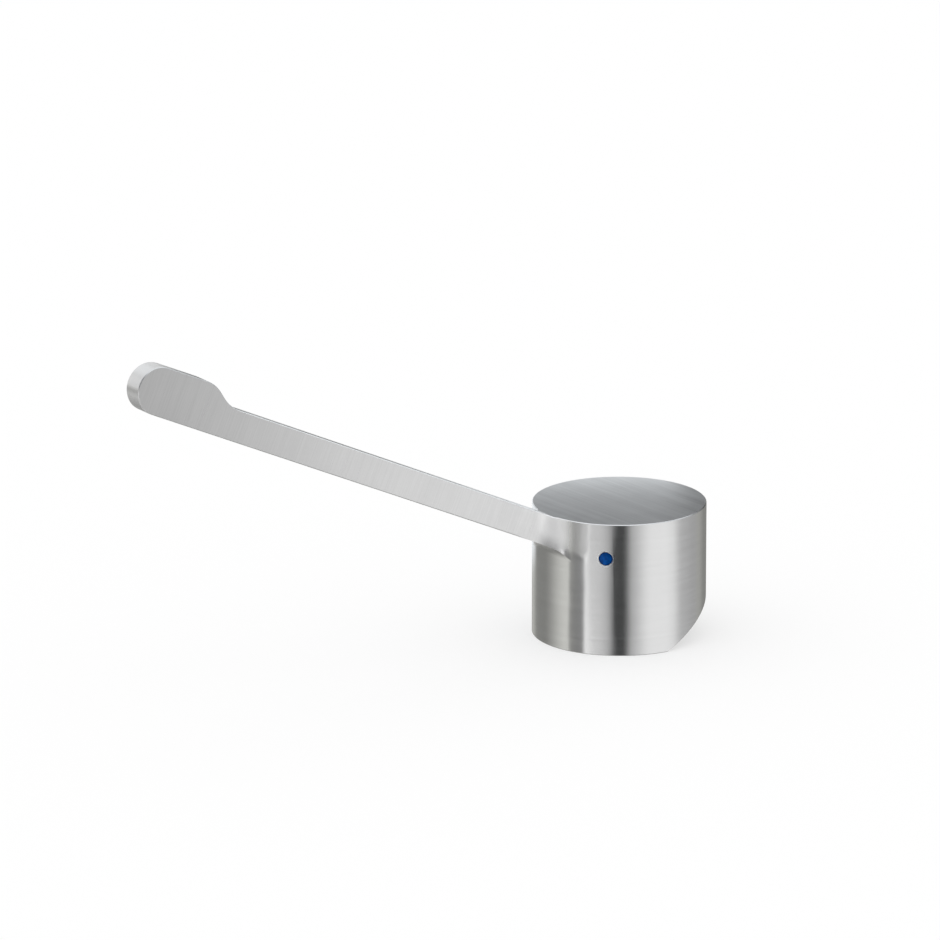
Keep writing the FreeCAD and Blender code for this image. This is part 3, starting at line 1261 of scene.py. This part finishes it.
@dataclass
class Studio:
    """Floor and surroundings: a plain soft tent, with the upright panels that steel mirrors.

    Panels are in degrees from the lever's direction towards the cold side. Each span of heights,
    in degrees above the horizon, says where a soft edge starts and where it ends.
    """

    floor_height: float = -13.5 * MM
    floor_size: float = 40.0
    floor_squares: int = 8
    floor_colour: Colour = (0.9, 0.9, 0.9, 1.0)
    floor_share: float = 0.42
    tent_level: float = 1.11
    low_height: Span = (14.0, 2.0)
    dark_level: float = 0.29
    panels: tuple[SoftPanel, ...] = (
        SoftPanel(66.0, 102.0, 122.0, 172.0, 0.64),
        SoftPanel(7.5, 13.0, 17.0, 52.0, 0.96),
        SoftPanel(-60.0, -16.0, -13.5, -11.5, 0.56),
        SoftPanel(-130.0, -104.0, -100.0, -80.0, 0.24),
        SoftPanel(42.0, 57.0, 61.0, 75.0, -0.61),
        SoftPanel(140.0, 165.0, 181.0, 182.0, 0.20),
        SoftPanel(-182.0, -181.0, -175.0, -150.0, 0.20),
    )
    table_panel: SoftPanel = SoftPanel(5.0, 15.0, 128.0, 150.0, 0.42)
    table_bottom: Span = (-27.0, -21.0)
    table_top: Span = (-4.0, -10.0)
    upper_level: float = 0.40
    upper_panels: tuple[SoftPanel, ...] = (
        SoftPanel(-120.0, -100.0, -65.0, -45.0, 0.35),
        SoftPanel(-175.0, -150.0, -118.0, -108.0, -0.32),
        SoftPanel(140.0, 160.0, 181.0, 182.0, 0.60),
    )
    overhead_height: Span = (38.0, 62.0)
    overhead_level: float = 1.25
    warm_azimuth: Span = (10.0, -20.0)
    cards: tuple[Card, ...] = (
        Card(
            "studio_card_hub",
            Vector((-43.5, 5.2, 14.0)) * MM,
            Vector((0.8464, -0.5325, 0.0)),
            half_width=44.0 * MM,
            half_height=26.0 * MM,
            soft=14.0 * MM,
            level=1.1,
            tint=COOL,
        ),
        Card(
            "studio_card_paddle",
            Vector((-40.0, -152.0, 94.0)) * MM,
            Vector((1.0, 0.0, 0.0)),
            half_width=55.0 * MM,
            half_height=28.0 * MM,
            soft=13.0 * MM,
            level=1.3,
        ),
        Card(
            "studio_card_fill",
            Vector((-52.0, -160.0, 42.0)) * MM,
            Vector((1.0, 0.0, 0.0)),
            half_width=45.0 * MM,
            half_height=32.0 * MM,
            soft=8.0 * MM,
            level=0.56,
        ),
        Card(
            "studio_card_low",
            Vector((-46.0, -160.0, 51.0)) * MM,
            Vector((1.0, 0.0, 0.0)),
            half_width=45.0 * MM,
            half_height=9.0 * MM,
            soft=5.0 * MM,
            level=0.80,
        ),
    )
    scrim: Scrim = Scrim()

    def floor(self) -> bpy.types.Object:
        """Makes the pale floor.

        Returns:
            The floor.
        """
        material, bench = bare_material("studio floor")
        seen = bench.add("ShaderNodeLightPath").outputs["Is Camera Ray"]
        matt = bench.result("ShaderNodeBsdfDiffuse", self.floor_colour)
        glow = bench.result("ShaderNodeEmission", WHITE, seen)
        share = bench.product(seen, 1.0 - self.floor_share)
        bench.show(bench.result("ShaderNodeMixShader", share, matt, glow))
        bm = bmesh.new()
        count, reach = self.floor_squares, self.floor_size / 2
        bmesh.ops.create_grid(bm, x_segments=count, y_segments=count, size=reach)
        bmesh.ops.translate(bm, verts=bm.verts, vec=UP * self.floor_height)
        floor = finished_object("studio_floor", bm, material)
        floor.visible_glossy = False
        return floor

    def summed(self, bench: NodeBench, azimuth: object, base: object, panels: tuple) -> Socket:
        """Adds panels to a base level.

        Args:
            bench: where the nodes go.
            azimuth: degrees from the lever's direction towards the cold side.
            base: the level where there is no panel.
            panels: the panels.

        Returns:
            The level at that azimuth.
        """
        for panel in panels:
            base = bench.math("MULTIPLY_ADD", panel.share(bench, azimuth), panel.level, base)
        return base

    def world(self) -> None:
        """Makes the surroundings: white to the camera, panels to steel, an even tent otherwise."""
        world = bpy.data.worlds.new("studio")
        bpy.context.scene.world = world
        world.use_nodes = True
        bench = NodeBench(world.node_tree)
        x, y, z = bench.parts(bench.add("ShaderNodeTexCoord").outputs["Generated"])
        azimuth = bench.math("DEGREES", bench.math("ARCTAN2", x, bench.product(y, -1.0)))
        height = bench.math("DEGREES", bench.math("ARCSINE", z))
        low = bench.smooth(height, *self.low_height)
        overhead = bench.smooth(height, *self.overhead_height)

        panels = self.summed(bench, azimuth, self.dark_level, self.panels)
        upper = self.summed(bench, azimuth, self.upper_level, self.upper_panels)
        table = bench.product(
            bench.smooth(height, *self.table_bottom),
            bench.smooth(height, *self.table_top),
            self.table_panel.share(bench, azimuth),
        )
        panels = bench.math("MULTIPLY_ADD", table, self.table_panel.level, panels)
        panels = bench.math("MAXIMUM", panels, 0.0)
        mirrored = bench.blend(low, upper, panels)
        mirrored = bench.blend(overhead, mirrored, self.overhead_level)
        warmth = bench.product(low, bench.smooth(azimuth, *self.warm_azimuth))
        colour = bench.blend(low, COOL, WHITE, "RGBA")
        colour = bench.blend(warmth, colour, WARM, "RGBA")

        path = bench.add("ShaderNodeLightPath").outputs
        colour = bench.blend(path["Is Glossy Ray"], WHITE, colour, "RGBA")
        level = bench.blend(path["Is Glossy Ray"], self.tent_level, mirrored)
        for ray in ("Is Transmission Ray", "Is Camera Ray"):
            level = bench.blend(path[ray], level, 1.0)
        glow = bench.result("ShaderNodeBackground", colour, level)
        bench.show(glow, "ShaderNodeOutputWorld")

    def build(self) -> None:
        """Builds the floor, the cards, the gauze and the surroundings."""
        self.floor()
        for card in self.cards:
            card.build()
        self.scrim.build()
        self.world()


@dataclass
class PhotoCamera:
    """Camera at the reference's viewing angle: a long lens, a little above the hub's top."""

    place: Vector = field(default_factory=lambda: Vector((2.120094, -1.381575, 0.757529)))
    view: Vector = field(default_factory=lambda: Vector((-0.81330112, 0.51216305, -0.27609834)))
    up: Vector = field(default_factory=lambda: Vector((-0.23363252, 0.14712625, 0.96112939)))
    right: Vector = field(default_factory=lambda: Vector((0.53287628, 0.84619317, 0.0)))
    lens: float = 382.979
    sensor: float = 36.0
    clip_start: float = 0.1
    clip_end: float = 60.0

    def build(self) -> bpy.types.Object:
        """Makes the camera and hands it to the scene.

        Returns:
            The camera.
        """
        data = bpy.data.cameras.new("photo camera")
        data.lens = self.lens
        data.sensor_width = self.sensor
        data.sensor_fit = "HORIZONTAL"
        data.clip_start = self.clip_start
        data.clip_end = self.clip_end
        camera = bpy.data.objects.new("photo_camera", data)
        turn = Matrix((self.right, self.up, -self.view)).transposed().to_4x4()
        camera.matrix_world = Matrix.Translation(self.place) @ turn
        bpy.context.scene.collection.objects.link(camera)
        bpy.context.scene.camera = camera
        return camera


def main() -> None:
    """Builds the scene in order and reports each piece."""
    logging.basicConfig(level=logging.INFO, format="%(name)s: %(message)s")
    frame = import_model()
    bpy.context.scene.view_settings.view_transform = "Standard"
    shared = Finishes.build()
    LOG.info("camera %s", PhotoCamera().build().name)
    LOG.info("body %s", HandleBody().build(frame["nodes"], shared).name)
    for side in Side:
        LOG.info("plug %s", IndexPlug(side).build(shared).name)
    LOG.info("screw %s", GrubScrew().build(shared).name)
    Studio().build()
    LOG.info("studio ready")


if __name__ == "__main__":
    main()
